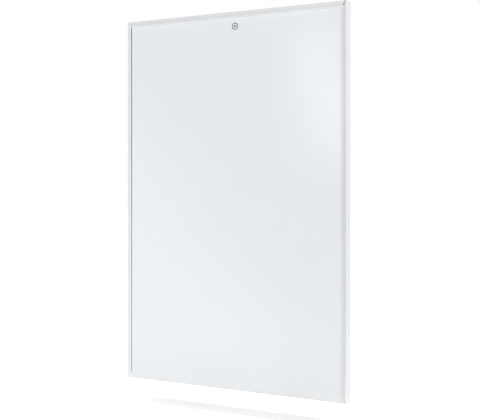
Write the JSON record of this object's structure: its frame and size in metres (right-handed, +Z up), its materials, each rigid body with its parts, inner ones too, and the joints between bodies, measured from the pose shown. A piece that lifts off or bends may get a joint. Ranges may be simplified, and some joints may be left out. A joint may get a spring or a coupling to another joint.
{
  "type": "infrared panel heater",
  "caption": "Slim framed infrared heating panel with a recessed white radiant sheet, a rear connection box with rocker switch and cable gland, and hook-on wall rails.",
  "frame": {"origin": "centre of the four wall screws, in the plane of the wall", "axes": "+X to the right seen from the front, +Y into the wall, +Z up"},
  "size_m": [0.6, 0.0499, 0.9],
  "materials": {
    "frame_paint": "white powder coat",
    "panel_enamel": "cool white satin enamel",
    "cover_paint": "pale grey-white powder coat",
    "zinc_steel": "zinc plated",
    "cast_alloy": "die-cast, as cast",
    "foil_metal": "bright foil",
    "ribbon_alloy": "resistance alloy, dull",
    "mica": "pressed mica, amber and flaky",
    "insulation": "bonded mineral fibre",
    "dark_silicone": "matt black silicone",
    "dark_rubber": "matt black rubber",
    "dark_plastic": "moulded, fine spark texture",
    "rocker_plastic": "polished black",
    "block_plastic": "natural polyamide",
    "ceramic": "glazed steatite",
    "brass": "turned",
    "brown_wire": "silicone insulation",
    "blue_wire": "silicone insulation",
    "earth_wire": "silicone insulation, green and yellow"
  },
  "bodies": {
    "wall_rails": {"upper_wall_rail": "zinc_steel", "lower_wall_rail": "zinc_steel"},
    "heater": {"top_rail": "frame_paint", "bottom_rail": "frame_paint", "left_rail": "frame_paint", "right_rail": "frame_paint", "corner_keys": "cast_alloy", "key_grub_screws": "zinc_steel", "radiant_panel": "panel_enamel", "panel_gasket": "dark_silicone", "front_mica_sheet": "mica", "heating_ribbon": "ribbon_alloy", "rear_mica_sheet": "mica", "ribbon_terminals": "brass", "reflector_foil": "foil_metal", "insulation_board": "insulation", "rear_cover": "cover_paint", "rear_cover_screws": "zinc_steel", "cutout_caps": "foil_metal", "cutout_bodies": "ceramic", "cutout_tabs": "brass", "cutout_pads": "dark_silicone", "live_wire": "brown_wire", "switched_live_wire": "brown_wire", "link_wire": "brown_wire", "ribbon_lead_wire": "brown_wire", "neutral_wire": "blue_wire", "earth_wire": "earth_wire", "connection_box": "dark_plastic", "box_lid": "dark_plastic", "lid_screws": "zinc_steel", "box_screws": "zinc_steel", "wire_grommet": "dark_rubber", "terminal_block": "block_plastic", "terminal_sleeves": "brass", "clamp_screws": "zinc_steel", "earth_stud": "brass", "earth_spacer": "brass", "earth_lug": "brass", "earth_nut": "brass", "gland_body": "dark_plastic", "gland_locknut": "dark_plastic", "gland_seal": "dark_rubber", "gland_dome_nut": "dark_plastic", "switch_body": "dark_plastic", "switch_tabs": "brass", "upper_hanger_rail": "zinc_steel", "lower_hanger_rail": "zinc_steel", "hanger_rivets": "zinc_steel"},
    "rocker": {"switch_rocker": "rocker_plastic"}
  },
  "joints": [
    {"name": "lift_off", "type": "slide", "parent": "wall_rails", "child": "heater", "axis": [0, 0, 1], "range_m": [0, 0.0145]},
    {"name": "power_rocker", "type": "hinge", "parent": "heater", "child": "rocker", "pos_m": [0.146, -0.013, -0.397], "axis": [0, 1, 0], "range_deg": [0, 16]}
  ]
}
